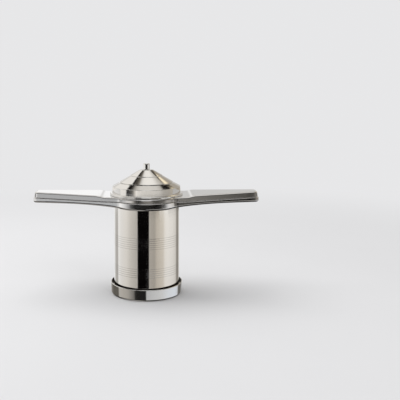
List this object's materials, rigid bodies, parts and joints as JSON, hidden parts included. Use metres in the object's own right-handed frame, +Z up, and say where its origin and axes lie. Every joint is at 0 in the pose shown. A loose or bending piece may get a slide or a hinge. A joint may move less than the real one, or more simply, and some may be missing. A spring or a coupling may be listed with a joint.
{
  "type": "sevai press",
  "caption": "Two-handled push press for sevai noodles: steel barrel with screwed perforated foot, plunger with stepped dome and knob, each with a two-armed handle.",
  "frame": {"origin": "centre of the foot, on the table, on the barrel's axis", "axes": "+Z up along the barrel's axis, +X along the handle arms, +Y across them"},
  "size_m": [0.2222, 0.076, 0.1286],
  "materials": {
    "spun_steel": "polished, with fine spinning marks",
    "pressed_steel": "polished, lightly brushed along the arms",
    "turned_steel": "bright, turned round the axis",
    "punched_steel": "satin, with bright punched edges",
    "fastener_steel": "plain zinc-bright"
  },
  "bodies": {
    "barrel": {"barrel_tube": "turned_steel", "barrel_thread_collar": "turned_steel", "barrel_handle_tray": "pressed_steel", "barrel_handle_lid": "pressed_steel"},
    "plunger": {"plunger_tube": "turned_steel", "plunger_base": "turned_steel", "plunger_handle_shell": "pressed_steel", "plunger_handle_plate": "pressed_steel", "dome": "spun_steel", "knob": "turned_steel", "screw_washer": "fastener_steel", "knob_screw": "fastener_steel"},
    "jali": {"jali_plate": "punched_steel"},
    "cap": {"cap_ring": "spun_steel"}
  },
  "joints": [
    {"name": "plunger_slide", "type": "slide", "parent": "barrel", "child": "plunger", "axis": [0, 0, 1], "range_m": [0, 0.085]},
    {"name": "jali_drop", "type": "slide", "parent": "barrel", "child": "jali", "axis": [0, 0, -1], "range_m": [0, 0.0051]},
    {"name": "cap_turn", "type": "hinge", "parent": "jali", "child": "cap", "pos_m": [0, 0, 0], "axis": [0, 0, -1], "range_deg": [0, 720]}
  ],
  "couplings": [
    {"joint": "jali_drop", "follows": "cap_turn", "m_per_rad": 0.00039789}
  ]
}
